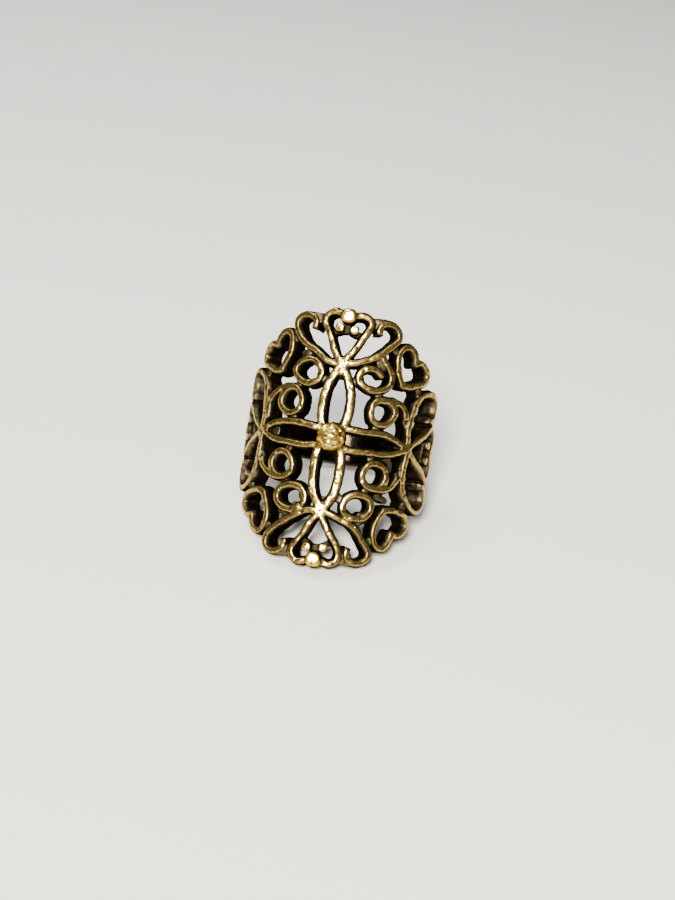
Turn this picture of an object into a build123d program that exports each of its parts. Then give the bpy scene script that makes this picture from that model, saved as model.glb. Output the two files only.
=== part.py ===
from build123d import *
import os
from math import acos, atan2, cos, degrees, hypot, pi, radians, sin

# A cast openwork ring: a long pierced plate bent round the finger, with a plain band behind.
# The plate is drawn flat first. There, u runs across the finger and v along it, from the boss.

# Driving sizes, in millimetres and degrees
finger_width = 18.0           # clear width of the finger hole
plate_wall = 2.2              # depth of the openwork, from its face to the finger
crown_radius = 12.1           # outer radius of the flattened top
crown_half_angle = 42.0       # how far that radius runs, each side of the boss
strand_width = 0.75           # face of most strands
end_petal_strand = 0.95       # face of the two end petals' strands
boss_radius = 1.6
boss_collar = 0.35            # straight side of the boss, above the plate's face
boss_height = 0.95            # top of the boss, above the plate's face
end_petal_length = 8.35       # boss to the node where an end fan starts, along the finger
end_petal_half_width = 1.55
side_petal_length = 9.55      # boss to the node where a side fan starts, round the finger
side_petal_half_width = 1.2
end_fan_length = 6.1          # node to the outermost bead
end_fan_half_width = 6.25
side_fan_length = 6.1
side_fan_half_width = 6.9
node_radius = 0.55            # pool of metal where the strands of a node meet
large_bead_radius = 0.9
small_bead_radius = 0.51
end_bead_sink = 0.25          # share of a bead's radius that its centre lies under the plate's face
side_bead_sink = 0.75         # the same on the side fans, where the beads hardly stand out
seat_share = 0.95             # share of a bead's or the boss's radius that its flat seat fills
shank_width = 4.1
shank_thickness = 1.3
shank_lap = 0.95              # how far the band runs in under the outer edge of a side fan
shank_rounding = 0.3
facet_length = 0.6            # longest straight step along a curved strand

# The outer face, seen along the finger: a wide arc on top and a tighter one down each side
half_width = finger_width / 2 + plate_wall
crown_angle = radians(crown_half_angle)
crown_run = crown_radius * crown_angle
side_radius = (half_width - crown_radius * sin(crown_angle)) / (1 - sin(crown_angle))
side_centre_x = (crown_radius - side_radius) * sin(crown_angle)
side_centre_z = (crown_radius - side_radius) * cos(crown_angle) - crown_radius

# Half of a petal's outline. run: share of its length. spread: share of its half width.
petal_table = [
    # run, spread
    (0.12, 0.76),
    (0.22, 0.90),
    (0.36, 0.98),
    (0.51, 1.00),
    (0.67, 0.89),
    (0.81, 0.60),
    (0.92, 0.22),
    (1.00, 0.00),
]

# Outer scroll of an end fan, from the node to its curled end, as shares of the fan's sizes
end_scroll_table = [
    # along, across
    (0.00, 0.00),
    (0.01, 0.19),
    (0.08, 0.37),
    (0.18, 0.56),
    (0.31, 0.75),
    (0.46, 0.90),
    (0.62, 1.00),
    (0.75, 0.98),
    (0.83, 0.87),
    (0.84, 0.74),
    (0.78, 0.63),
    (0.68, 0.60),
    (0.60, 0.61),
]

# The same scroll of a side fan, which leaves its node more squarely
side_scroll_table = [
    # along, across
    (0.00, 0.00),
    (-0.02, 0.19),
    (-0.03, 0.38),
    (0.00, 0.57),
    (0.07, 0.75),
    (0.19, 0.89),
    (0.36, 0.98),
    (0.55, 1.00),
    (0.74, 0.92),
    (0.83, 0.77),
    (0.80, 0.62),
    (0.70, 0.55),
    (0.60, 0.57),
]

# Half of the heart inside each fan, from the node to the large bead
lobe_table = [
    # along, across
    (0.00, 0.00),
    (0.13, 0.09),
    (0.31, 0.20),
    (0.51, 0.32),
    (0.66, 0.41),
    (0.78, 0.44),
    (0.88, 0.39),
    (0.93, 0.28),
    (0.91, 0.17),
    (0.87, 0.07),
]

# The two sides of a corner heart, each from its point to its notch, as shares of the petal lengths
heart_inner_table = [
    # across, along
    (0.79, 0.85),
    (0.73, 0.98),
    (0.69, 1.14),
    (0.70, 1.27),
    (0.75, 1.36),
    (0.83, 1.37),
    (0.91, 1.30),
    (0.95, 1.18),
]
heart_outer_table = [
    # across, along
    (0.79, 0.85),
    (0.90, 0.83),
    (1.02, 0.87),
    (1.14, 0.93),
    (1.18, 1.02),
    (1.12, 1.13),
    (1.03, 1.19),
    (0.95, 1.18),
]

# Round coil beside the end petal, and round eye beside the side petal
coil_centre = (0.425, 0.852)            # across, along
coil_size = (0.175, 0.160)
eye_centre = (0.588, 0.434)
eye_size = (0.156, 0.170)
oval_steps = 20                         # points that set the curve of a coil or an eye

# Tail that runs from the top of the eye to the side fan
tail_table = [
    # across, along
    (0.58, 0.60),
    (0.67, 0.61),
    (0.78, 0.58),
    (0.87, 0.50),
    (0.92, 0.38),
]

large_bead_place = 0.865                # share of a fan's length
small_bead_place = (0.645, 0.145)       # shares of a fan's length and half width
web_width = 0.5                         # thin struts that carry the small beads
web_crossing = 0.655                    # where they cross on the fan's axis
web_head = 0.80                         # where they run in under the large bead
web_root = 0.53                         # where they meet the heart's sides

# Short bridges where neighbouring strands of a quarter touch, each at a share of a strand's run
bridge_table = [
    # strand, run, neighbour, run
    ("coil", 0.82, "eye", 0.32),
    ("eye", 0.69, "side petal", 0.44),
    ("coil", 0.53, "end petal", 0.67),
    ("coil", 0.36, "end scroll", 0.23),
    ("coil", 0.19, "end scroll", 0.36),
    ("heart inner", 0.50, "end scroll", 0.54),
    ("heart outer", 0.33, "side scroll", 0.47),
    ("tail", 1.00, "side scroll", 0.19),
    ("end scroll", 0.91, "end lobe", 0.66),
    ("end scroll", 0.85, "end lobe", 0.70),
    ("side scroll", 0.90, "side lobe", 0.65),
    ("side scroll", 0.84, "side lobe", 0.69),
]

fans = {
    # petal, length, half width, outer scroll
    "end": (end_petal_length, end_fan_length, end_fan_half_width, end_scroll_table),
    "side": (side_petal_length, side_fan_length, side_fan_half_width, side_scroll_table),
}
bead_sinks = {"end": end_bead_sink, "side": side_bead_sink}


def curve(points, closed=False):
    """A smooth curve through the points."""
    return Edge.make_spline([Vector(*point) for point in points], periodic=closed)


def ribbon(path, width=strand_width):
    """A flat strand of even width along a curve, in short straight steps."""
    steps = round(path.length / facet_length)
    left, right = [], []
    for step in range(steps if path.is_closed else steps + 1):
        place, heading = path @ (step / steps), path % (step / steps)
        side = Vector(-heading.Y, heading.X) * (width / 2)
        left.append(place + side)
        right.append(place - side)
    if path.is_closed:
        return Face(Wire.make_polygon(right, close=True), [Wire.make_polygon(left, close=True)])
    return Face(Wire.make_polygon(left + right[::-1], close=True))


def bar(start, end, width=strand_width):
    """A straight flat strand between two points."""
    start, end = Vector(*start), Vector(*end)
    side = (end - start).normalized().rotate(Axis.Z, 90) * (width / 2)
    return Face(Wire.make_polygon([start + side, end + side, end - side, start - side], close=True))


def disc(centre, radius):
    """A flat pool of metal, or the seat of a bead."""
    x, y = centre
    sides = round(2 * pi * radius / (facet_length / 2))
    turns = [2 * pi * (side + 0.5) / sides for side in range(sides)]
    corners = [(x + radius * cos(turn), y + radius * sin(turn)) for turn in turns]
    return Face(Wire.make_polygon(corners, close=True))


def cell(across, along):
    """A place in one quarter of the plate, from shares of the two petal lengths."""
    return (across * side_petal_length, along * end_petal_length)


def fan_place(kind, along, across):
    """A place in a fan, from shares of its length and half width."""
    petal, length, spread, _ = fans[kind]
    reach, offset = petal + along * length, across * spread
    return (offset, reach) if kind == "end" else (reach, offset)


def petal_paths():
    """The halves of one end petal and one side petal that lie in a quarter of the plate."""
    end = [(spread * end_petal_half_width, run * end_petal_length) for run, spread in petal_table]
    side = [(run * side_petal_length, spread * side_petal_half_width) for run, spread in petal_table]
    return {"end petal": curve(end), "side petal": curve(side)}


def fan_paths(kind):
    """The outer scroll and half of the heart of one fan."""
    scroll = [fan_place(kind, *row) for row in fans[kind][3]]
    lobe = [fan_place(kind, *row) for row in lobe_table]
    return {kind + " scroll": curve(scroll), kind + " lobe": curve(lobe)}


def oval(centre, size):
    """A closed oval curve, its centre and half widths given as shares of the petal lengths."""
    turns = [2 * pi * step / oval_steps for step in range(oval_steps)]
    places = [cell(centre[0] + size[0] * cos(turn), centre[1] + size[1] * sin(turn)) for turn in turns]
    return curve(places, closed=True)


def filling_paths():
    """The coil, the eye with its tail, and the corner heart, between the petals and the fans."""
    return {
        "coil": oval(coil_centre, coil_size),
        "eye": oval(eye_centre, eye_size),
        "tail": curve([cell(*row) for row in tail_table]),
        "heart inner": curve([cell(*row) for row in heart_inner_table]),
        "heart outer": curve([cell(*row) for row in heart_outer_table]),
    }


def heart_side(along):
    """The place on a fan's heart at a share of the fan's length."""
    for (low, near), (high, far) in zip(lobe_table, lobe_table[1:]):
        if low <= along <= high:
            return (along, near + (far - near) * (along - low) / (high - low))


def fittings(kind):
    """The node of a fan, the large bead's seat and the struts that carry one small bead."""
    crossing = fan_place(kind, web_crossing, 0)
    return [
        disc(fan_place(kind, 0, 0), node_radius),
        disc(fan_place(kind, large_bead_place, 0), large_bead_radius * seat_share),
        disc(crossing, web_width / 2),
        bar(crossing, fan_place(kind, *heart_side(web_root)), web_width),
        bar(crossing, fan_place(kind, web_head, 0), web_width),
    ]


def quarter_plate():
    """Every strand, bridge and flat part in a quarter of the plate."""
    paths = petal_paths() | fan_paths("end") | fan_paths("side") | filling_paths()
    bridges = [bar(paths[strand] @ run, paths[other] @ reach) for strand, run, other, reach in bridge_table]
    corners = [disc(cell(*heart_inner_table[row]), strand_width / 2) for row in (0, -1)]
    strands = [ribbon(paths.pop("end petal"), end_petal_strand)] + [ribbon(path) for path in paths.values()]
    return strands + bridges + corners + fittings("end") + fittings("side")


def flat_plate():
    """The whole openwork, drawn flat: one quarter mirrored both ways round the boss."""
    quarter = quarter_plate()
    half = quarter + [piece.mirror(Plane.YZ) for piece in quarter]
    whole = half + [piece.mirror(Plane.XZ) for piece in half]
    whole = [piece if piece.normal_at().Z > 0 else -piece for piece in whole]
    return disc((0, 0), boss_radius * seat_share).fuse(*whole)


def bend(u, v, lift=0.0):
    """Where a point of the flat plate comes to lie round the finger, lifted off its face."""
    run, side = abs(u), (1 if u >= 0 else -1)
    if run <= crown_run:
        angle, radius, x, z = run / crown_radius, crown_radius + lift, 0, -crown_radius
    else:
        angle = crown_angle + (run - crown_run) / side_radius
        radius, x, z = side_radius + lift, side_centre_x, side_centre_z
    return Vector(side * (x + radius * sin(angle)), v, z + radius * cos(angle))


def tilt_at(u):
    """How far the plate's face has turned at a place across the finger, in degrees."""
    run, side = abs(u), (1 if u >= 0 else -1)
    if run <= crown_run:
        return side * degrees(run / crown_radius)
    return side * (crown_half_angle + degrees((run - crown_run) / side_radius))


def bent_plate():
    """The flat plate bent round the finger, with walls that all point at the finger."""
    places, triangles = flat_plate().face().tessellate(facet_length)
    face = [bend(place.X, place.Y) for place in places]
    back = [bend(place.X, place.Y, -plate_wall) for place in places]
    sides = {(row[k], row[(k + 1) % 3]) for row in triangles for k in range(3)}
    skin = []
    for a, b, c in triangles:
        skin.append((face[a], face[b], face[c]))
        skin.append((back[c], back[b], back[a]))
    for a, b in sides:
        if (b, a) not in sides:
            skin.append((face[b], face[a], back[a]))
            skin.append((face[b], back[a], back[b]))
    return Solid(Shell([Face(Wire.make_polygon(corners, close=True)) for corners in skin]))


def seat(u, v):
    """The frame on the plate's face at a flat place, with z standing off the face."""
    return Location(bend(u, v), (0, tilt_at(u), 0))


def boss():
    """Domed boss with a straight collar, rooted in the plate's wall."""
    rise = boss_height - boss_collar
    dome_radius = (boss_radius ** 2 + rise ** 2) / (2 * rise)
    dome = Pos(0, 0, boss_height - dome_radius) * Sphere(dome_radius)
    root = plate_wall / 2
    post = Pos(0, 0, (boss_height - root) / 2) * Cylinder(boss_radius, boss_height + root)
    return post & dome


def beads():
    """Every bead of the four fans, seated on the bent plate."""
    balls = []
    for kind in fans:
        for way in (1, -1):
            places = [(fan_place(kind, large_bead_place, 0), large_bead_radius)]
            along, across = small_bead_place
            places += [(fan_place(kind, along, hand * across), small_bead_radius) for hand in (1, -1)]
            for (u, v), radius in places:
                sink = Pos(0, 0, -bead_sinks[kind] * radius)
                balls.append(seat(way * u, way * v) * sink * Sphere(radius))
    return balls


def shank():
    """The plain band, from under one side fan round the back to the other."""
    inner = finger_width / 2
    outer = inner + shank_thickness
    first = radians(tilt_at(side_petal_length + side_fan_length - shank_lap))
    start, end = Vector(sin(first), cos(first)), Vector(-sin(first), cos(first))
    outline = ThreePointArc(start * outer, (0, -outer), end * outer) + Line(end * outer, end * inner)
    outline += ThreePointArc(end * inner, (0, -inner), start * inner) + Line(start * inner, start * outer)
    band = extrude(Plane.XZ * make_face(outline), shank_width / 2, both=True)
    rims = [edge for edge in band.edges() if edge.geom_type == GeomType.CIRCLE]
    return Pos(0, 0, side_centre_z) * fillet(rims, shank_rounding)


def resting_turn(plate):
    """The turn about X that sets the lower end of the plate level with the round edge of the band."""
    rim_y = shank_rounding - shank_width / 2
    rim_z = side_centre_z - (finger_width / 2 + shank_thickness - shank_rounding)
    turns = []
    for corner in plate.vertices():
        y, z = corner.Y - rim_y, corner.Z - rim_z
        turns.append(atan2(y, z) + acos(-shank_rounding / hypot(y, z)))
    return degrees(min(turns))


def openwork_ring():
    """The whole ring as one casting, lying as it rests, its face towards -Y and up."""
    plate = bent_plate()
    ring = plate.fuse(boss(), shank(), *beads())
    ring = ring.rotate(Axis.X, resting_turn(plate))
    box = ring.bounding_box()
    return Pos(-box.center().X, -box.center().Y, -box.min.Z) * ring


os.makedirs("parts", exist_ok=True)
export_step(openwork_ring(), "parts/openwork_ring.step")
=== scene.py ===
from math import cos, hypot, pi, radians, sin

import bpy
import numpy as np
from mathutils import Matrix, Vector


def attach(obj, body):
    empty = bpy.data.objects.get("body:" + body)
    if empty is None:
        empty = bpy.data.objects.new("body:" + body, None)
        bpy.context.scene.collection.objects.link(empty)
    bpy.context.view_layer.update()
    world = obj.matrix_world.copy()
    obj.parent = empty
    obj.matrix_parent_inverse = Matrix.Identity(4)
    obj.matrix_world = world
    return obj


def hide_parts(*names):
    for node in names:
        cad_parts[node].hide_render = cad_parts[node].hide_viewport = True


# A cast openwork ring in antique brass, lying as it rests.
# The plate is drawn flat: u runs across the finger and v along it, from the boss. The whole casting
# is worked out as one distance field round the finger, face up, and then turned to rest.
# Lengths are in millimetres, up to where the finished mesh is scaled to metres.

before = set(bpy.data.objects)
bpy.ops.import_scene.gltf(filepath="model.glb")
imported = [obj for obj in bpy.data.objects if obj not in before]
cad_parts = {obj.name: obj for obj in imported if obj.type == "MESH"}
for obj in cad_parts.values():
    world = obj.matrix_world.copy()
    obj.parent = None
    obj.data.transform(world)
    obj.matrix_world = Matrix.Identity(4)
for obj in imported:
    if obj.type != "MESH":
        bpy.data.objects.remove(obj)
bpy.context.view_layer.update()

MM = 0.001
NODE = "openwork_ring"
quick_cell, full_cell = 0.16, 0.1
cell = full_cell      # spacing of the field
triangle_limit = 190000

# Driving sizes, as the solid has them
finger_width = 18.0           # clear width of the finger hole
plate_wall = 2.2              # depth of the openwork, from its face to the finger
crown_radius = 12.1           # outer radius of the flattened top
crown_angle = radians(42.0)   # how far that radius runs, each side of the boss
strand_width = 0.75           # face of most strands
end_petal_strand = 0.95       # face of the two end petals' strands
boss_radius = 1.6
boss_collar = 0.35            # straight side of the boss, above the plate's face
boss_height = 0.95            # top of the boss, above the plate's face
end_petal_length = 8.35       # boss to the node where an end fan starts, along the finger
end_petal_half_width = 1.55
side_petal_length = 9.55      # boss to the node where a side fan starts, round the finger
side_petal_half_width = 1.2
end_fan_length = 6.1
end_fan_half_width = 6.25
side_fan_length = 6.1
side_fan_half_width = 6.9
node_radius = 0.55            # pool of metal where the strands of a node meet
large_bead_radius = 0.9
small_bead_radius = 0.51
bead_sinks = {"end": 0.25, "side": 0.75}    # share of its radius that a fan's bead is sunk by
seat_share = 0.95             # share of a bead's or the boss's radius that its seat fills
web_width = 0.5               # strands that hold the small beads
shank_width = 4.1
shank_thickness = 1.3
shank_lap = 0.95              # how far the band runs in under the outer edge of a side fan
shank_rounding = 0.3
resting_turn = radians(55.33)       # from face up to how the ring lies

# The outer face, seen along the finger: a wide arc on top and a tighter one down each side
half_width = finger_width / 2 + plate_wall
crown_run = crown_radius * crown_angle
side_radius = (half_width - crown_radius * sin(crown_angle)) / (1 - sin(crown_angle))
side_centre_x = (crown_radius - side_radius) * sin(crown_angle)
side_centre_z = (crown_radius - side_radius) * cos(crown_angle) - crown_radius

# How the casting is worn and soldered
edge_rounding = 0.14          # wear along the edges of the strands
boss_rounding = 0.2           # wear along the edge of the boss
face_wear = 0.08              # how much narrower, each side, a strand is at its face
flare, flare_depth = 0.21, 0.55     # how much wider it gets, each side, down to a depth
solder = 0.17                 # width of the fillet where strands meet
layer_solder = 0.10           # width of the fillet between the plate's layers
bead_solder = 0.10            # width of the fillet round the beads, the boss and the band
bridge_drop = 0.28            # how far the bridges lie under the plate's face
web_drop = 0.55               # how far the small beads' web lies under it
width_swell = 0.09            # share by which a strand's width comes and goes
swell_steps, swell_spread = 5, 0.5  # points from one swell to the next, and how uneven they are
plan_drift = 0.07             # how far hand work has moved the strands from the plan
drift_count, drift_lengths = 3, (4, 8)      # how many waves that makes, and how long they are

# The beads are slightly squared and flattened: the power is 2 for a round one and more for a
# squarish one, and the flat top and its rounded edge are shares of the radius
large_bead_power, large_bead_top = 2.5, 0.82
small_bead_power, small_bead_top = 3.0, 0.8
bead_rounding = 0.15

# The worn line on the boss's right side, and how far right and how high its tarnish starts
groove_radius, groove_width, groove_depth = 1.15, 0.10, 0.10
groove_start, groove_lift = 0.4, 0.2

# Casting marks: how deep they are, and the spacing and the seed of their noise
slow_depth, slow_noise = 0.048, (0.75, 11)
quick_depth, quick_noise = 0.034, (0.33, 12)
pit_depth, pit_noise = 0.13, (0.25, 13)
pit_level = 0.35              # noise above this level is a pit
dent_depth, dent_noise = 0.2, (0.42, 14)
dent_rise = 0.2               # share of a hammer mark's depth that metal may rise beside it
dent_margin, dent_fade = 0.5, 0.4   # how far past the boss they end, and the width they fade over
band_share = 0.2              # share of the marks that the band keeps
band_start = radians(82)      # turn from the boss at which that share starts
band_skin, band_margin = 0.1, 0.25  # how far past the band it holds, outward and along the finger
skin = 0.3                    # how far from the surface the field is marked
noise_table_size = (37, 41, 43)
noise_offset = 100            # keeps places in the noise above zero

# Where each mark of the finish starts and where it is full
# The buffed mark goes by facing out as well as by lift, so it also sets where shade and highlight are
# painted
buffed_and_lit_lift, buffed_and_lit_facing = (-0.26, -0.05), (0.66, 0.97)
raised_lift = (0.06, 0.22)
pit_tarnish, dent_tarnish = (0.06, 0.30), (0.06, 0.40)
dent_tarnish_share, groove_tarnish = 0.5, 0.8
band_depth, band_turn = (-0.08, -0.02), (radians(84), radians(90))
rim_across = (shank_width / 2 - 0.30, shank_width / 2 - 0.10)
rim_out = (shank_thickness - 0.35, shank_thickness - 0.1)
outside_out = (0.2, shank_thickness - 0.1)
open_distances = (0.3, 0.7, 1.4, 2.8)       # how far out clear space is looked for
open_limit = 1.4              # a clear space of this size counts as fully open

# The flat plan and the field
plan_half_width, plan_half_length = 16.9, 15.3      # these clear the outermost strands
plan_step = 0.05              # spacing of the plan across the finger
reach = 1.7                   # how far out distances are worked out
margin = 0.8                  # clear space in the field round the ring
tiny = 1e-9                   # least length that is divided by
line_step = 0.15              # spacing of the points along a strand
least_steps = 4               # fewest steps along a strand
oval_steps = 20               # points that an oval is drawn through
wrap = 3                      # points that a closed line is carried on by at each end
bridge_points = 4             # points along a bridge
web_foot_points, web_stem_points = 5, 4     # points along the parts of a web
squared_steps = 3             # steps at the end of a strand that its straight cut is made in

# The curves of one quarter and one fan, as shares of their lengths and half widths
petal_table = [
    # run, spread
    (0.12, 0.76), (0.22, 0.90), (0.36, 0.98), (0.51, 1.00),
    (0.67, 0.89), (0.81, 0.60), (0.92, 0.22), (1.00, 0.00),
]
end_scroll_table = [
    # along, across
    (0.00, 0.00), (0.01, 0.19), (0.08, 0.37), (0.18, 0.56), (0.31, 0.75), (0.46, 0.90), (0.62, 1.00),
    (0.75, 0.98), (0.83, 0.87), (0.84, 0.74), (0.78, 0.63), (0.68, 0.60), (0.60, 0.61),
]
side_scroll_table = [
    # along, across
    (0.00, 0.00), (-0.02, 0.19), (-0.03, 0.38), (0.00, 0.57), (0.07, 0.75), (0.19, 0.89), (0.36, 0.98),
    (0.55, 1.00), (0.74, 0.92), (0.83, 0.77), (0.80, 0.62), (0.70, 0.55), (0.60, 0.57),
]
lobe_table = [
    # along, across
    (0.00, 0.00), (0.13, 0.09), (0.31, 0.20), (0.51, 0.32), (0.66, 0.41), (0.78, 0.44), (0.88, 0.39),
    (0.93, 0.28), (0.91, 0.17), (0.87, 0.07),
]
lobe_widest = 0.8             # the lobe widens up to here along the fan
heart_inner_table = [
    # across, along
    (0.79, 0.85), (0.73, 0.98), (0.69, 1.14), (0.70, 1.27),
    (0.75, 1.36), (0.83, 1.37), (0.91, 1.30), (0.95, 1.18),
]
heart_outer_table = [
    # across, along
    (0.79, 0.85), (0.90, 0.83), (1.02, 0.87), (1.14, 0.93),
    (1.18, 1.02), (1.12, 1.13), (1.03, 1.19), (0.95, 1.18),
]
tail_table = [
    # across, along
    (0.58, 0.60), (0.67, 0.61), (0.78, 0.58), (0.87, 0.50), (0.92, 0.38),
]
coil_centre, coil_size = (0.425, 0.852), (0.175, 0.160)
eye_centre, eye_size = (0.588, 0.434), (0.156, 0.170)
large_bead_place = 0.865
small_bead_place = (0.645, 0.145)
web_crossing, web_root, web_head = 0.655, 0.53, 0.80
bridge_table = [
    # strand, run, neighbour, run
    ("coil", 0.82, "eye", 0.32),
    ("eye", 0.69, "side petal", 0.44),
    ("coil", 0.53, "end petal", 0.67),
    ("coil", 0.36, "end scroll", 0.23),
    ("coil", 0.19, "end scroll", 0.36),
    ("heart inner", 0.50, "end scroll", 0.54),
    ("heart outer", 0.33, "side scroll", 0.47),
    ("tail", 1.00, "side scroll", 0.19),
    ("end scroll", 0.91, "end lobe", 0.66),
    ("end scroll", 0.85, "end lobe", 0.70),
    ("side scroll", 0.90, "side lobe", 0.65),
    ("side scroll", 0.84, "side lobe", 0.69),
]

# What differs from quarter to quarter. A quarter is named by its signs across and along.
quarters = [(1, 1), (-1, 1), (1, -1), (-1, -1)]
# The coils of three quarters, which sit a little apart from the plan
coil_table = {
    # quarter: centre and half size, as shares across and along
    (-1, 1): ((0.405, 0.846), (0.175, 0.163)),
    (1, -1): ((0.432, 0.876), (0.176, 0.168)),
    (-1, -1): ((0.398, 0.864), (0.188, 0.165)),
}
# The upper right coil, which is left open as a spiral
spiral_quarter = (1, 1)
spiral_table = [
    # across, along
    (0.50, 1.13), (0.56, 1.05), (0.63, 0.93), (0.61, 0.81), (0.52, 0.72), (0.41, 0.69),
    (0.30, 0.73), (0.23, 0.82), (0.25, 0.92), (0.32, 0.98), (0.41, 0.98), (0.48, 0.92),
]
# Strands that only one quarter has
extra_table = [
    # quarter, layer, places as shares across and along
    ((-1, 1), "face", [(0.87, 0.49), (0.92, 0.39), (0.93, 0.29), (0.93, 0.19)]),
    ((1, -1), "web", [(0.60, 0.21), (0.70, 0.19), (0.78, 0.22), (0.80, 0.33)]),
    ((1, -1), "web", [(0.28, 1.01), (0.42, 1.07), (0.54, 1.05), (0.63, 0.96)]),
    ((1, -1), "web", [(0.58, 0.76), (0.68, 0.71), (0.79, 0.72)]),
    ((-1, -1), "web", [(0.25, 1.00), (0.40, 1.07), (0.54, 1.05)]),
    ((-1, 1), "web", [(0.24, 1.00), (0.38, 1.08), (0.52, 1.10)]),
]
fans = {
    # petal length, fan length, fan half width, scroll
    "end": (end_petal_length, end_fan_length, end_fan_half_width, end_scroll_table),
    "side": (side_petal_length, side_fan_length, side_fan_half_width, side_scroll_table),
}

# Metal in the ends of the petals' openings: low down in all four, more of it in the left one, and
# level with the face in the upper one
petal_fill_radius = 0.42
petal_places = {"end": (0, 0.86 * end_petal_length), "side": (0.87 * side_petal_length, 0)}
top_fill, top_fill_radius = (0, 0.875 * end_petal_length), 0.36
left_fill, left_fill_radius = (-0.78 * side_petal_length, 0), 0.55

rng = np.random.default_rng(7)
drift_waves = [
    # length, turn and phase of each slow wave in the plan
    (rng.uniform(*drift_lengths), rng.uniform(0, pi), rng.uniform(0, 2 * pi)) for _ in range(drift_count)
]


# Curves of the flat plan

def smooth_line(points, closed=False):
    """Evenly spaced points along the smooth curve through a few given points."""
    points = np.array(points, float)
    turns = len(points)
    if closed:
        points = np.concatenate([points[-wrap:], points, points[:wrap + 1]])
    gaps = np.hypot(*np.diff(points, axis=0).T)
    knots = np.concatenate([[0], np.cumsum(gaps)])
    count = len(points)
    system, right = np.eye(count), np.zeros((count, 2))
    for row in range(1, count - 1):
        system[row, row - 1:row + 2] = gaps[row - 1], 2 * (gaps[row - 1] + gaps[row]), gaps[row]
        ahead, behind = points[row + 1] - points[row], points[row] - points[row - 1]
        right[row] = 6 * (ahead / gaps[row] - behind / gaps[row - 1])
    bends = np.linalg.solve(system, right)
    first, last = (knots[wrap], knots[wrap + turns]) if closed else (0, knots[-1])
    places = np.linspace(first, last, max(least_steps, round((last - first) / line_step)) + 1)
    rows = np.clip(np.searchsorted(knots, places, side="right") - 1, 0, count - 2)
    gap = gaps[rows][:, None]
    after = (places - knots[rows])[:, None] / gap
    before = 1 - after
    cubic = (before ** 3 - before) * bends[rows] + (after ** 3 - after) * bends[rows + 1]
    return before * points[rows] + after * points[rows + 1] + cubic * gap ** 2 / 6


def quarter_place(across, along):
    """A place in a quarter of the plate, from shares of the petals' lengths."""
    return (across * side_petal_length, along * end_petal_length)


def quarter_line(table, closed=False):
    """A smooth line through places in a quarter."""
    return smooth_line([quarter_place(*row) for row in table], closed)


def fan_place(kind, along, across):
    """A place in a fan, from shares of its length and half width."""
    petal, length, spread, _ = fans[kind]
    far, offset = petal + along * length, across * spread
    return (offset, far) if kind == "end" else (far, offset)


def oval(centre, size):
    """A closed line round an oval in a quarter."""
    turns = [2 * pi * step / oval_steps for step in range(oval_steps)]
    table = [(centre[0] + size[0] * cos(turn), centre[1] + size[1] * sin(turn)) for turn in turns]
    return quarter_line(table, closed=True)


def plan_lines():
    """The strands in one quarter of the plate, by name."""
    end_petal = [(spread * end_petal_half_width, run * end_petal_length) for run, spread in petal_table]
    side_petal = [(run * side_petal_length, spread * side_petal_half_width) for run, spread in petal_table]
    lines = {
        "end petal": smooth_line(end_petal),
        "side petal": smooth_line(side_petal),
        "coil": oval(coil_centre, coil_size),
        "eye": oval(eye_centre, eye_size),
        "tail": quarter_line(tail_table),
        "heart inner": quarter_line(heart_inner_table),
        "heart outer": quarter_line(heart_outer_table),
    }
    for kind, fan in fans.items():
        lines[kind + " scroll"] = smooth_line([fan_place(kind, *row) for row in fan[3]])
        lines[kind + " lobe"] = smooth_line([fan_place(kind, *row) for row in lobe_table])
    return lines


def own_coil(way):
    """The coil of one quarter: an oval of its own, or the open spiral."""
    return quarter_line(spiral_table) if way == spiral_quarter else oval(*coil_table[way])


def heart_side(along):
    """How far out a fan's heart lies at a share of the fan's length."""
    rows = [row for row in lobe_table if row[0] <= lobe_widest]
    return float(np.interp(along, [row[0] for row in rows], [row[1] for row in rows]))


def drift(points):
    """Moves points of the flat plan a little, as uneven hand work has."""
    points = np.array(points, float)
    moved = points.copy()
    for length, turn, phase in drift_waves:
        swing = np.sin(points @ np.array([cos(turn), sin(turn)]) * 2 * pi / length + phase)
        moved += plan_drift * swing[:, None] * np.array([-sin(turn), cos(turn)])
    return moved


# Flat layers of the plate: the distance to the nearest strand's edge, negative inside it

# Grid lines across and along the plan
us = np.arange(-plan_half_width, plan_half_width, plan_step)
vs = np.arange(-plan_half_length, plan_half_length, cell)


def smooth_min(a, b, width):
    """The lesser of two distances, with a fillet of about that width where they meet."""
    overlap = np.maximum(width - np.abs(a - b), 0)
    return np.minimum(a, b) - overlap ** 2 / (4 * width)


def swelling(count):
    """Shares by which a strand's width comes and goes, as cast and filed wire does."""
    knots = rng.normal(0, swell_spread, count // swell_steps + 3)
    return 1 + width_swell * np.interp(np.linspace(0, len(knots) - 1, count), range(len(knots)), knots)


def segment_distance(block, grid_u, grid_v, a, b, half):
    """Brings a block of a layer down to its distance from one straight step of a strand."""
    run = b - a
    length = max(run @ run, tiny)
    share = np.clip(((grid_u - a[0]) * run[0] + (grid_v - a[1]) * run[1]) / length, 0, 1)
    gap = np.hypot(grid_u - a[0] - share * run[0], grid_v - a[1] - share * run[1]) - half
    np.minimum(block, gap, out=block)


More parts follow.
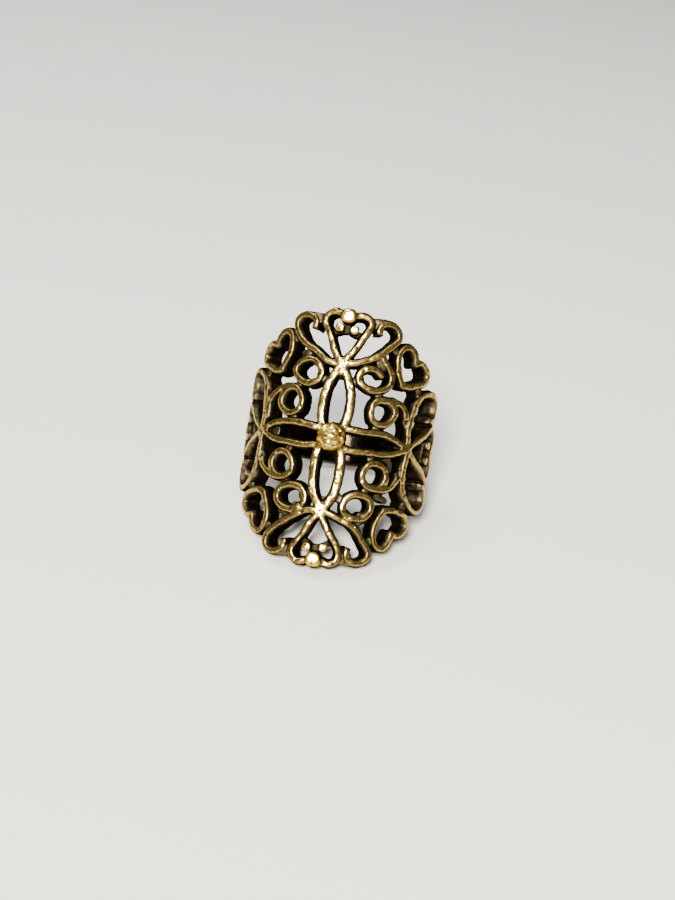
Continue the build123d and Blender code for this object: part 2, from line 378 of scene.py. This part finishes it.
def add_line(layer, line, width=strand_width, squared=False):
    """Joins one strand to a flat layer. A squared strand has its last end cut straight."""
    line = drift(line)
    halves = width / 2 * swelling(len(line))
    low, high = line.min(0) - reach - width, line.max(0) + reach + width
    i0, i1 = np.searchsorted(us, (low[0], high[0]))
    j0, j1 = np.searchsorted(vs, (low[1], high[1]))
    grid_u, grid_v = us[i0:i1, None], vs[None, j0:j1]
    shape = np.full((i1 - i0, j1 - j0), reach)
    steps = len(line) - 1
    cut = steps - squared_steps if squared else steps
    for k in range(cut):
        segment_distance(shape, grid_u, grid_v, line[k], line[k + 1], halves[k])
    if squared:
        tip = np.full_like(shape, reach)
        heading = line[-1] - line[-2]
        heading = heading / hypot(*heading)
        for k in range(cut, steps):
            segment_distance(tip, grid_u, grid_v, line[k], line[k + 1], halves[k])
        past = (grid_u - line[-1][0]) * heading[0] + (grid_v - line[-1][1]) * heading[1]
        np.minimum(shape, np.maximum(tip, past), out=shape)
    block = layer[i0:i1, j0:j1]
    block[...] = smooth_min(block, shape, solder)


def add_disc(layer, centre, radius):
    """Joins a round pool of metal to a flat layer."""
    centre = drift([centre])[0]
    gap = np.hypot(us[:, None] - centre[0], vs[None, :] - centre[1]) - radius
    layer[...] = smooth_min(layer, np.minimum(gap, reach), solder)


def add_strands(face, lines, way):
    """The strands of one quarter, on the plate's face."""
    for name, line in lines.items():
        if name == "coil":
            line = own_coil(way)
        squared = name.endswith("scroll") or name == "tail"
        width = end_petal_strand if name == "end petal" else strand_width
        add_line(face, line * way, width, squared)


def add_bridges(bridges, lines, way):
    """The short bridges of one quarter, where neighbouring strands touch."""
    for strand, run, other, far in bridge_table:
        start = lines[strand][round(run * (len(lines[strand]) - 1))]
        end = lines[other][round(far * (len(lines[other]) - 1))]
        add_line(bridges, np.linspace(start, end, bridge_points) * way)


def add_extras(face, webs, way):
    """The strands that only this quarter has."""
    for quarter, level, places in extra_table:
        if quarter == way:
            layer, width = (webs, web_width) if level == "web" else (face, strand_width)
            add_line(layer, quarter_line(places) * way, width)


def add_webs(webs, way):
    """The webs that hold the small beads in one quarter."""
    for kind in fans:
        crossing = np.array(fan_place(kind, web_crossing, 0))
        root = np.array(fan_place(kind, web_root, heart_side(web_root)))
        head = np.array(fan_place(kind, web_head, 0))
        add_line(webs, np.linspace(crossing, root, web_foot_points) * way, web_width)
        add_line(webs, np.linspace(crossing, head, web_stem_points) * way, web_width)


def add_pools(face, bridges, webs):
    """Round pools of metal: nodes, seats of the large beads and the boss, and filled corners."""
    for kind in fans:
        for way in (1, -1):
            seat = np.array(fan_place(kind, large_bead_place, 0)) * way
            add_disc(face, np.array(fan_place(kind, 0, 0)) * way, node_radius)
            add_disc(bridges, seat, large_bead_radius * seat_share)
            add_disc(webs, np.array(petal_places[kind]) * way, petal_fill_radius)
    add_disc(face, top_fill, top_fill_radius)
    add_disc(webs, left_fill, left_fill_radius)
    add_disc(face, (0, 0), boss_radius * seat_share)


def flat_layers():
    """The plate's three flat layers, each with its depth under the face."""
    face, bridges, webs = [np.full((len(us), len(vs)), reach) for _ in range(3)]
    lines = plan_lines()
    for way in quarters:
        add_strands(face, lines, way)
        add_bridges(bridges, lines, way)
        add_extras(face, webs, way)
        add_webs(webs, way)
    add_pools(face, bridges, webs)
    return [(face, 0.0), (bridges, bridge_drop), (webs, web_drop)]


# The field in space, face up: x across, y along the finger, z off the face

band_bottom = side_centre_z - finger_width / 2 - shank_thickness
xs = np.arange(-half_width - margin, half_width + margin, cell)
zs = np.arange(band_bottom - margin, boss_height + margin, cell)


def unbend(x, z):
    """The flat place u and the lift off the plate's face of a point seen along the finger."""
    side = np.where(x < 0, -1.0, 1.0)
    x = np.abs(x)
    turn = np.arctan2(x, z + crown_radius)
    on_crown = turn <= crown_angle
    side_turn = np.arctan2(x - side_centre_x, z - side_centre_z)
    side_turn = np.where(side_turn < -pi / 2, side_turn + 2 * pi, side_turn)
    u = np.where(on_crown, turn * crown_radius, crown_run + (side_turn - crown_angle) * side_radius)
    crown_lift = np.hypot(x, z + crown_radius) - crown_radius
    side_lift = np.hypot(x - side_centre_x, z - side_centre_z) - side_radius
    return side * u, np.where(on_crown, crown_lift, side_lift)


def bend(u, v, lift):
    """Where a flat place comes to lie round the finger, and which way it faces there."""
    run, side = abs(u), (1 if u >= 0 else -1)
    if run <= crown_run:
        turn = run / crown_radius
        radius, x, z = crown_radius + lift, 0, -crown_radius
    else:
        turn = crown_angle + (run - crown_run) / side_radius
        radius, x, z = side_radius + lift, side_centre_x, side_centre_z
    return np.array([side * (x + radius * sin(turn)), v, z + radius * cos(turn)]), side * turn


def rounded(a, b, rounding):
    """Where two distances are both negative, with the edge between them rounded."""
    a, b = a + rounding, b + rounding
    return np.minimum(np.maximum(a, b), 0) + np.hypot(np.maximum(a, 0), np.maximum(b, 0)) - rounding


def plate_field():
    """The openwork plate, bent round the finger."""
    field = np.full((len(xs), len(zs), len(vs)), reach, np.float32)
    layers = flat_layers()
    furthest = us[-1] - 2 * plan_step
    for i, x in enumerate(xs):
        u, lift = unbend(np.full(len(zs), x), zs)
        rows = np.flatnonzero((lift > -plate_wall - reach) & (lift < reach) & (np.abs(u) < furthest))
        if not len(rows):
            continue
        place = (u[rows] - us[0]) / (us[1] - us[0])
        low = place.astype(int)
        share = (place - low)[:, None]
        best = None
        for layer, drop in layers:
            gap = layer[low] * (1 - share) + layer[low + 1] * share
            middle, half = -(plate_wall + drop) / 2, (plate_wall - drop) / 2
            depth = np.abs(lift[rows] - middle)[:, None] - half
            widening = flare * np.clip(-lift[rows] / flare_depth, 0, 1)[:, None]
            gap = gap + face_wear - widening
            shape = rounded(gap, np.broadcast_to(depth, gap.shape), edge_rounding)
            best = shape if best is None else smooth_min(best, shape, layer_solder)
        field[i, rows] = np.minimum(best, reach)
    return field


def window(centre, size):
    """The slices of the field round a point, and the distances from it along x, z and y."""
    spans, gaps = [], []
    for axis, values in enumerate((xs, zs, vs)):
        middle = centre[(0, 2, 1)[axis]]
        first, last = np.searchsorted(values, (middle - size, middle + size))
        spans.append(slice(first, last))
        shape = [1, 1, 1]
        shape[axis] = -1
        gaps.append((values[first:last] - middle).reshape(shape))
    return tuple(spans), gaps


def local(gaps, turn):
    """Distances across, off and along a seat that faces off the plate at that turn."""
    x, z, y = gaps
    return x * cos(turn) - z * sin(turn), x * sin(turn) + z * cos(turn), y


def add_bead(field, place, radius, sink, power, top):
    """Solders a bead to the plate at a flat place, sunk by a share of its radius."""
    u, v = drift([place])[0]
    centre, turn = bend(u, v, -sink * radius)
    spans, gaps = window(centre, radius + reach)
    across, off, along = local(gaps, turn)
    powers = np.abs(across) ** power + np.abs(off) ** power + np.abs(along) ** power
    ball = powers ** (1 / power) - radius
    ball = rounded(ball, off - top * radius, bead_rounding * radius)
    field[spans] = smooth_min(field[spans], ball, bead_solder)


def add_fan_beads(field):
    """The large bead and the two small beads of each fan."""
    along, across = small_bead_place
    for kind, sink in bead_sinks.items():
        for way in (1, -1):
            place = np.array(fan_place(kind, large_bead_place, 0)) * way
            add_bead(field, place, large_bead_radius, sink, large_bead_power, large_bead_top)
            for hand in (1, -1):
                place = np.array(fan_place(kind, along, hand * across)) * way
                add_bead(field, place, small_bead_radius, sink, small_bead_power, small_bead_top)


def add_boss(field):
    """The domed boss on the middle of the plate."""
    spans, gaps = window(np.zeros(3), boss_radius + reach)
    x, z, y = gaps
    rise = boss_height - boss_collar
    dome = (boss_radius ** 2 + rise ** 2) / (2 * rise)
    cap = np.sqrt(x ** 2 + y ** 2 + (z - boss_height + dome) ** 2) - dome
    groove = groove_depth * np.clip(x / groove_radius, 0, 1)
    cap = cap + groove * np.exp(-((np.hypot(x, y) - groove_radius) / groove_width) ** 2)
    post = np.maximum(np.hypot(x, y) - boss_radius, -plate_wall / 2 - z)
    field[spans] = smooth_min(field[spans], rounded(cap, post, boss_rounding), bead_solder)


def band_distance(x, z, y):
    """The distance from the plain band that closes the ring behind the finger."""
    first = crown_angle + (side_petal_length + side_fan_length - shank_lap - crown_run) / side_radius
    middle = (finger_width + shank_thickness) / 2
    radius = np.hypot(x, z - side_centre_z)
    turn = np.arctan2(np.abs(x), z - side_centre_z)
    off_middle = np.abs(radius - middle) - shank_thickness / 2
    bar = rounded(off_middle, np.abs(y) - shank_width / 2, shank_rounding)
    return np.maximum(bar, (first - turn) * middle)


def add_band(field):
    """Joins the plain band to the plate."""
    for i, x in enumerate(xs):
        band = band_distance(x, zs[:, None], vs[None, :])
        field[i] = smooth_min(field[i], band, bead_solder)


def lattice_noise(points, spacing, seed):
    """Smooth noise from -1 to 1 at points, with features about twice the spacing wide."""
    table = np.random.default_rng(seed).uniform(-1, 1, noise_table_size)
    places = points / spacing + noise_offset
    low = np.floor(places).astype(int)
    share = places - low
    share = share * share * (3 - 2 * share)
    total = np.zeros(len(points))
    for corner in np.ndindex(2, 2, 2):
        weight = np.prod(np.where(corner, share, 1 - share), axis=1)
        i, j, k = ((low + corner) % table.shape).T
        total += weight * table[i, j, k]
    return total


def pits_at(points):
    """How deep the casting's small pits are at points, before they are scaled."""
    return np.maximum(lattice_noise(points, *pit_noise) - pit_level, 0)


def dents_at(points):
    """How deep the hammer marks on the boss are at points, before they are scaled."""
    from_boss = np.linalg.norm(points - (0, 0, boss_height / 2), axis=1)
    on_boss = np.clip((boss_radius + dent_margin - from_boss) / dent_fade, 0, 1)
    return on_boss * np.maximum(lattice_noise(points, *dent_noise), -dent_rise)


def roughen(field):
    """Casting marks: slow unevenness, small pits, and hammer marks on the boss."""
    where = np.nonzero(np.abs(field) < skin)
    points = np.stack([xs[where[0]], vs[where[2]], zs[where[1]]], axis=1)
    turn = np.arctan2(np.abs(points[:, 0]), points[:, 2] - side_centre_z)
    radius = np.hypot(points[:, 0], points[:, 2] - side_centre_z)
    within = radius < finger_width / 2 + shank_thickness + band_skin
    across = np.abs(points[:, 1]) < shank_width / 2 + band_margin
    amount = np.where((turn > band_start) & within & across, band_share, 1.0)
    slow = lattice_noise(points, *slow_noise)
    quick = lattice_noise(points, *quick_noise)
    marks = slow_depth * slow + quick_depth * quick + pit_depth * pits_at(points)
    change = amount * marks + dent_depth * dents_at(points)
    field[where] += change.astype(np.float32)


# From the field to a mesh

def crossing_points(field, inside, cells):
    """One point in each cell, in the middle of where the surface crosses its edges."""
    corners = list(np.ndindex(2, 2, 2))
    values = np.stack([field[tuple((cells + corner).T)] for corner in corners], axis=1).astype(float)
    total, hits = np.zeros((len(cells), 3)), np.zeros(len(cells))
    for a, first in enumerate(corners):
        for b, last in enumerate(corners):
            step = np.subtract(last, first)
            if b > a and np.abs(step).sum() == 1:
                crossed = (values[:, a] < 0) != (values[:, b] < 0)
                share = values[crossed, a] / (values[crossed, a] - values[crossed, b])
                total[crossed] += np.array(first) + share[:, None] * step
                hits[crossed] += 1
    return cells + total / hits[:, None]


def surface_net(field):
    """Points and four-sided faces of the field's zero surface."""
    inside = field < 0
    count = np.zeros(tuple(n - 1 for n in field.shape), np.uint8)
    for corner in np.ndindex(2, 2, 2):
        count += inside[tuple(slice(c, c + n) for c, n in zip(corner, count.shape))]
    cells = np.argwhere((count > 0) & (count < 8))
    index = np.full(count.shape, -1, np.int64)
    index[tuple(cells.T)] = np.arange(len(cells))
    faces = []
    for axis in range(3):
        ahead = tuple(slice(1, None) if k == axis else slice(None) for k in range(3))
        behind = tuple(slice(None, -1) if k == axis else slice(None) for k in range(3))
        edges = np.argwhere(inside[ahead] != inside[behind])
        one, two = [k for k in range(3) if k != axis]
        edges = edges[(edges[:, one] > 0) & (edges[:, two] > 0)]
        shift_one, shift_two = np.zeros(3, int), np.zeros(3, int)
        shift_one[one], shift_two[two] = 1, 1
        loop = [edges, edges - shift_one, edges - shift_one - shift_two, edges - shift_two]
        quads = np.stack([index[tuple(corner.T)] for corner in loop], axis=1)
        leaving = inside[tuple(edges.T)]
        if axis == 1:
            leaving = ~leaving
        quads[~leaving] = quads[~leaving][:, ::-1]
        faces.append(quads)
    return crossing_points(field, inside, cells), np.concatenate(faces)


def to_millimetres(points):
    """Field indexes along x, z and y to x, y and z."""
    x, z, y = points.T * cell
    return np.stack([xs[0] + x, vs[0] + y, zs[0] + z], axis=1)


def sample(field, points):
    """The field's value at points in millimetres."""
    places = np.stack([
        (points[:, 0] - xs[0]) / cell,
        (points[:, 2] - zs[0]) / cell,
        (points[:, 1] - vs[0]) / cell,
    ], axis=1)
    places = np.clip(places, 0, np.array(field.shape) - 1.001)      # inside the last cells
    low = places.astype(int)
    share = places - low
    total = np.zeros(len(points))
    for corner in np.ndindex(2, 2, 2):
        weight = np.prod(np.where(corner, share, 1 - share), axis=1)
        total += weight * field[tuple((low + corner).T)]
    return total


def mesh_from(points, faces, name):
    """A mesh object from arrays of points and four-sided faces."""
    mesh = bpy.data.meshes.new(name)
    mesh.vertices.add(len(points))
    mesh.vertices.foreach_set("co", points.astype(np.float32).ravel())
    mesh.loops.add(faces.size)
    mesh.loops.foreach_set("vertex_index", faces.astype(np.int32).ravel())
    mesh.polygons.add(len(faces))
    mesh.polygons.foreach_set("loop_start", np.arange(0, faces.size, 4, dtype=np.int32))
    mesh.update(calc_edges=True)
    mesh.validate()
    piece = bpy.data.objects.new(name, mesh)
    bpy.context.scene.collection.objects.link(piece)
    return piece


def thin_out(piece):
    """Brings a mesh under the triangle limit, flat stretches first."""
    count = 2 * len(piece.data.polygons)
    if count > triangle_limit:
        thinner = piece.modifiers.new("thin_out", "DECIMATE")
        thinner.ratio = triangle_limit / count
        bpy.context.view_layer.update()
        evaluated = piece.evaluated_get(bpy.context.evaluated_depsgraph_get())
        thinned = bpy.data.meshes.new_from_object(evaluated)
        piece.modifiers.clear()
        old, piece.data = piece.data, thinned
        bpy.data.meshes.remove(old)


# Marks of the finish, kept on the mesh's points

def add_attribute(mesh, name, values):
    """Keeps one value from 0 to 1 at each point of a mesh."""
    attribute = mesh.attributes.new(name, "FLOAT", "POINT")
    attribute.data.foreach_set("value", np.clip(values, 0, 1).astype(np.float32))


def smooth_step(values, low, high):
    """Goes smoothly from 0 at low to 1 at high."""
    share = np.clip((values - low) / (high - low), 0, 1)
    return share * share * (3 - 2 * share)


def mesh_points(mesh):
    """The points of a mesh as an array."""
    points = np.empty(len(mesh.vertices) * 3, np.float32)
    mesh.vertices.foreach_get("co", points)
    return points.reshape(-1, 3).astype(float)


def field_normals(field, points):
    """The way out of the metal at points."""
    slopes = []
    for axis in range(3):
        step = np.zeros(3)
        step[axis] = cell
        slopes.append(sample(field, points + step) - sample(field, points - step))
    normals = np.stack(slopes, axis=1)
    return normals / np.maximum(np.linalg.norm(normals, axis=1), tiny)[:, None]


def openness_at(field, points, normals):
    """How clear the space in front of points is: low in recesses, high on rims and faces."""
    openness = np.zeros(len(points))
    for far in open_distances:
        clear = sample(field, points + normals * far) / min(far, open_limit)
        openness += np.clip(clear, 0, 1) / len(open_distances)
    return openness


def tarnish_at(points, lift):
    """How tarnished the pits, the hammer marks and the boss's worn line are at points."""
    from_groove = np.abs(np.hypot(points[:, 0], points[:, 1]) - groove_radius)
    worn_line = (from_groove < groove_width) * (points[:, 0] > groove_start) * (lift > groove_lift)
    pits = smooth_step(pits_at(points), *pit_tarnish)
    dents = dent_tarnish_share * smooth_step(dents_at(points), *dent_tarnish)
    return pits + dents + groove_tarnish * worn_line


def finish_marks(mesh, field):
    """Marks where the casting is buffed bright, or faces out for painted light and shade, where it lies
    open and where it is band.
    """
    points = mesh_points(mesh)
    normals = field_normals(field, points)
    u, lift = unbend(points[:, 0], points[:, 2])
    run = np.abs(u)
    side_turn = crown_angle + (run - crown_run) / side_radius
    turn = np.where(run <= crown_run, run / crown_radius, side_turn)
    facing = normals[:, 0] * np.sign(u) * np.sin(turn) + normals[:, 2] * np.cos(turn)
    band = smooth_step(-band_distance(points[:, 0], points[:, 2], points[:, 1]), *band_depth)
    band *= smooth_step(turn, *band_turn)
    # Facing out also places the painted highlight and shade, because the front lamp lies near that way
    buffed_and_lit = smooth_step(lift, *buffed_and_lit_lift) * smooth_step(facing, *buffed_and_lit_facing) * (1 - band)
    add_attribute(mesh, "buffed_and_lit", buffed_and_lit)
    add_attribute(mesh, "tarnished", tarnish_at(points, lift))
    add_attribute(mesh, "raised", smooth_step(lift, *raised_lift))
    add_attribute(mesh, "open", openness_at(field, points, normals))
    add_attribute(mesh, "band", band)
    out = np.hypot(points[:, 0], points[:, 2] - side_centre_z) - finger_width / 2
    rim = smooth_step(np.abs(points[:, 1]), *rim_across)
    add_attribute(mesh, "band_rim", band * rim * smooth_step(out, *rim_out))
    add_attribute(mesh, "band_outside", band * smooth_step(out, *outside_out))


# The casting

def ring():
    """The whole casting, as one mesh, face up and in millimetres."""
    field = plate_field()
    add_fan_beads(field)
    add_boss(field)
    add_band(field)
    roughen(field)
    points, faces = surface_net(field)
    piece = mesh_from(to_millimetres(points), faces, "openwork_casting")
    thin_out(piece)
    finish_marks(piece.data, field)
    piece.data.polygons.foreach_set("use_smooth", np.ones(len(piece.data.polygons), bool))
    return piece


def resting_place(mesh):
    """The turn and shift that lay a face-up mesh in metres on the floor."""
    turn = Matrix.Rotation(resting_turn, 4, "X")
    turned = mesh.copy()
    turned.transform(turn)
    places = np.array([vertex.co for vertex in turned.vertices])
    low, high = places.min(0), places.max(0)
    middle = (low + high) / 2
    bpy.data.meshes.remove(turned)
    return Matrix.Translation(Vector((-middle[0], -middle[1], -low[2]))) @ turn


casting = ring()
casting.data.transform(Matrix.Scale(MM, 4))
at_rest = resting_place(casting.data)
casting.data.transform(at_rest)
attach(casting, "root")
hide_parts(NODE)


# Antique brass

# Colours
dark = (0.013, 0.010, 0.006, 1)             # deep recesses
dull = (0.118, 0.091, 0.050, 1)             # walls that lie open
olive_patina_and_shade = (0.155, 0.098, 0.027, 1)            # edges of the faces, olive patina with painted shade
gold = (0.40, 0.277, 0.080, 1)              # buffed faces
umber = (0.085, 0.052, 0.018, 1)            # spots and pits in them
amber_and_side_shade = (0.40, 0.225, 0.025, 1)             # sides of the beads and the boss, with painted shade
polished_gold_and_highlight = (1.0, 0.71, 0.15, 1)          # their polished tops, with a painted highlight
band_brown = (0.026, 0.018, 0.013, 1)       # inside of the band
band_brass = (0.34, 0.235, 0.095, 1)        # its worn outside and rims
dull_sheen, bright_sheen = (0.05, 0.045, 0.04, 1), (1.0, 0.95, 0.85, 1)

# Noise in the metal: scale, detail and roughness
blotch_noise = (900, 4, 0.6)
spot_noise = (2300, 3, 0.55)
grain_noise = (4200, 3, 0.6)
patch_strength, patch_shift = 0.55, -0.27           # how far blotches move the edges of the finish

# From where a finish starts to where it is full
bright_range, rubbed_range = (0.46, 1.00), (0.62, 1.10)
edge_range, ball_range = (0.05, 0.45), (0.1, 0.8)
spot_range, blotch_range = (0.56, 0.70), (0.15, 0.90)
mark_strength = 0.85
band_wear_strength, band_wear_least = 0.30, 0.22
rim_wear = 0.9

dull_roughness, bright_roughness = 0.50, 0.16
rubbed_gloss = 0.5
grain_roughness, band_gloss = 0.10, -0.26
bump_strength, bump_distance = 0.25, 0.00004        # the distance is in metres


def new_material(name):
    """A new material, with its node tree and its shader."""
    material = bpy.data.materials.new(name)
    material.use_nodes = True
    return material, material.node_tree, material.node_tree.nodes["Principled BSDF"]


def attribute_node(tree, name):
    """A value that is kept on the mesh's points."""
    node = tree.nodes.new("ShaderNodeAttribute")
    node.attribute_name = name
    return node.outputs["Fac"]


def noise_node(tree, place, scale, detail, roughness):
    """Noise at each place in the metal."""
    node = tree.nodes.new("ShaderNodeTexNoise")
    node.inputs["Scale"].default_value = scale
    node.inputs["Detail"].default_value = detail
    node.inputs["Roughness"].default_value = roughness
    tree.links.new(place, node.inputs["Vector"])
    return node.outputs["Fac"]


def ramp(tree, value, low, high):
    """Stretches a value smoothly, so that low becomes 0 and high becomes 1."""
    node = tree.nodes.new("ShaderNodeMapRange")
    node.interpolation_type = "SMOOTHSTEP"
    node.inputs["From Min"].default_value = low
    node.inputs["From Max"].default_value = high
    tree.links.new(value, node.inputs["Value"])
    return node.outputs["Result"]


def between(tree, value, low, high):
    """Goes evenly from low to high as a value goes from 0 to 1."""
    node = tree.nodes.new("ShaderNodeMapRange")
    node.inputs["To Min"].default_value = low
    node.inputs["To Max"].default_value = high
    tree.links.new(value, node.inputs["Value"])
    return node.outputs["Result"]


def calculate(tree, operation, *values):
    """The result of a calculation on values that are numbers or other nodes' results."""
    node = tree.nodes.new("ShaderNodeMath")
    node.operation = operation
    for socket, value in zip(node.inputs, values):
        if isinstance(value, (int, float)):
            socket.default_value = value
        else:
            tree.links.new(value, socket)
    return node.outputs[0]


def blend_colours(tree, factor, a, b):
    """Goes from colour a to colour b as the factor goes from 0 to 1."""
    node = tree.nodes.new("ShaderNodeMix")
    node.data_type = "RGBA"
    tree.links.new(factor, node.inputs["Factor"])
    for socket, value in ((node.inputs["A"], a), (node.inputs["B"], b)):
        if isinstance(value, tuple):
            socket.default_value = value
        else:
            tree.links.new(value, socket)
    return node.outputs["Result"]


def plate_colour(tree, buffed_and_lit, bright, rubbed, spots):
    """Gold faces, olive edges with painted shade, dark recesses, spots of tarnish, and polished beads with
    painted highlight and shade.
    """
    raised = attribute_node(tree, "raised")
    recess = blend_colours(tree, rubbed, dark, dull)
    # Painted shade: the edges, where strands turn away from the light, are olive and darker than the faces
    edge = blend_colours(tree, ramp(tree, buffed_and_lit, *edge_range), recess, olive_patina_and_shade)
    face = blend_colours(tree, bright, edge, gold)
    spotting = calculate(tree, "MULTIPLY", ramp(tree, spots, *spot_range), bright)
    spotted = blend_colours(tree, spotting, face, umber)
    # Painted highlight and shade: bright tops and darker amber sides on the beads and the boss
    ball = blend_colours(tree, ramp(tree, bright, *ball_range), amber_and_side_shade, polished_gold_and_highlight)
    polished_and_lit = blend_colours(tree, calculate(tree, "MULTIPLY", raised, rubbed), spotted, ball)
    shown = calculate(tree, "MAXIMUM", bright, raised)
    tarnished = calculate(tree, "MULTIPLY", attribute_node(tree, "tarnished"), mark_strength)
    return blend_colours(tree, calculate(tree, "MULTIPLY", shown, tarnished), polished_and_lit, umber)


def band_colour(tree, blotches):
    """Brown inside the band, worn to brass on its outside and most along its rims."""
    blotched = ramp(tree, blotches, *blotch_range)
    wear = calculate(tree, "MULTIPLY_ADD", blotched, band_wear_strength, band_wear_least)
    outside = calculate(tree, "MULTIPLY", attribute_node(tree, "band_outside"), wear)
    rims = calculate(tree, "MULTIPLY", attribute_node(tree, "band_rim"), rim_wear)
    return blend_colours(tree, calculate(tree, "MAXIMUM", outside, rims), band_brown, band_brass)


def metal_roughness(tree, bright, rubbed, grain, band):
    """Glossy where the metal is rubbed bright and on the band, dull in the recesses."""
    gloss = calculate(tree, "MAXIMUM", bright, calculate(tree, "MULTIPLY", rubbed, rubbed_gloss))
    grained = calculate(tree, "MULTIPLY", grain, grain_roughness)
    on_band = calculate(tree, "MULTIPLY", band, band_gloss)
    plain = between(tree, gloss, dull_roughness, bright_roughness)
    return calculate(tree, "ADD", plain, calculate(tree, "ADD", grained, on_band))


def antique_brass():
    """Buffed pale gold on the faces, olive brown with painted shade at their edges and near black in the
    recesses.
    """
    material, tree, shader = new_material("antique_brass")
    place = tree.nodes.new("ShaderNodeTexCoord").outputs["Object"]
    buffed_and_lit, openness, band = [attribute_node(tree, name) for name in ("buffed_and_lit", "open", "band")]
    blotches = noise_node(tree, place, *blotch_noise)
    spots = noise_node(tree, place, *spot_noise)
    grain = noise_node(tree, place, *grain_noise)
    patches = calculate(tree, "MULTIPLY_ADD", blotches, patch_strength, patch_shift)
    bright = ramp(tree, calculate(tree, "ADD", buffed_and_lit, patches), *bright_range)
    rubbed = ramp(tree, calculate(tree, "ADD", openness, patches), *rubbed_range)
    plate = plate_colour(tree, buffed_and_lit, bright, rubbed, spots)
    colour = blend_colours(tree, band, plate, band_colour(tree, blotches))
    sheen = blend_colours(tree, calculate(tree, "MAXIMUM", bright, band), dull_sheen, bright_sheen)
    bump = tree.nodes.new("ShaderNodeBump")
    bump.inputs["Strength"].default_value = bump_strength
    bump.inputs["Distance"].default_value = bump_distance
    tree.links.new(grain, bump.inputs["Height"])
    shader.inputs["Metallic"].default_value = 1.0
    tree.links.new(colour, shader.inputs["Base Color"])
    tree.links.new(sheen, shader.inputs["Specular Tint"])
    tree.links.new(metal_roughness(tree, bright, rubbed, grain, band), shader.inputs["Roughness"])
    tree.links.new(bump.outputs["Normal"], shader.inputs["Normal"])
    return material


casting.data.materials.clear()
casting.data.materials.append(antique_brass())


# Floor, light and camera, in metres

floor_size = 3.0
floor_colour, floor_roughness = (0.67, 0.665, 0.655, 1), 0.85
sky_colour, sky_strength = (0.95, 0.97, 1.0, 1), 0.26
light_aim = (0, 0, 0.012)
white, warm = (1, 1, 1), (1.0, 0.94, 0.80)
light_table = [
    # name, place, size, power, colour
    ("front", (-0.02, -0.407, 0.362), 0.12, 12.5, warm),
    ("top", (-0.22, 0.06, 0.64), 0.30, 4.0, white),
]


def floor():
    """The plain pale floor that the ring lies on."""
    bpy.ops.mesh.primitive_plane_add(size=floor_size, location=(0, 0, 0))
    plane = bpy.context.object
    plane.name = "floor"
    material, _, shader = new_material("pale_floor")
    shader.inputs["Base Color"].default_value = floor_colour
    shader.inputs["Roughness"].default_value = floor_roughness
    plane.data.materials.append(material)


def soft_light(name, place, size, power, colour):
    """A square soft light that faces the ring."""
    light = bpy.data.lights.new(name, "AREA")
    light.size = size
    light.energy = power
    light.color = colour
    lamp = bpy.data.objects.new(name, light)
    lamp.location = place
    lamp.rotation_euler = (Vector(light_aim) - Vector(place)).to_track_quat("-Z", "Y").to_euler()
    bpy.context.scene.collection.objects.link(lamp)


def studio():
    """A dim even sky and the soft lights."""
    world = bpy.data.worlds.new("studio")
    world.use_nodes = True
    sky = world.node_tree.nodes["Background"]
    sky.inputs["Color"].default_value = sky_colour
    sky.inputs["Strength"].default_value = sky_strength
    bpy.context.scene.world = world
    for row in light_table:
        soft_light(*row)


def camera():
    """Looks at the plate as the photograph does, turned and shifted to its framing."""
    view_roll, view_right, view_down = 0.149, 0.112, -0.062         # radians
    view_distance = 133.3                                           # millimetres
    focal_length, sensor_width = 48, 36                             # millimetres
    nearest_seen = 0.005                                            # metres
    photo_width, photo_height = 675, 900                            # pixels, as are the next two
    boss_across, boss_down = 330.9, 436.9
    out = Vector((sin(view_right) * cos(view_down), sin(view_down), cos(view_right) * cos(view_down)))
    right = Vector((cos(view_right), 0, -sin(view_right)))
    up = out.cross(right)
    image_right = right * cos(view_roll) + up * sin(view_roll)
    image_up = up * cos(view_roll) - right * sin(view_roll)
    turn = Matrix.Rotation(resting_turn, 3, "X")
    axes = Matrix([turn @ image_right, turn @ image_up, turn @ out]).transposed()
    boss_place = at_rest @ Vector((0, 0, 0))
    data = bpy.data.cameras.new("camera")
    data.lens, data.sensor_width = focal_length, sensor_width
    data.shift_x = (photo_width / 2 - boss_across) / photo_height
    data.shift_y = (boss_down - photo_height / 2) / photo_height
    data.clip_start = nearest_seen
    lens = bpy.data.objects.new("camera", data)
    place = boss_place + axes.col[2] * view_distance * MM
    lens.matrix_world = Matrix.Translation(place) @ axes.to_4x4()
    bpy.context.scene.collection.objects.link(lens)
    bpy.context.scene.camera = lens


floor()
studio()
camera()
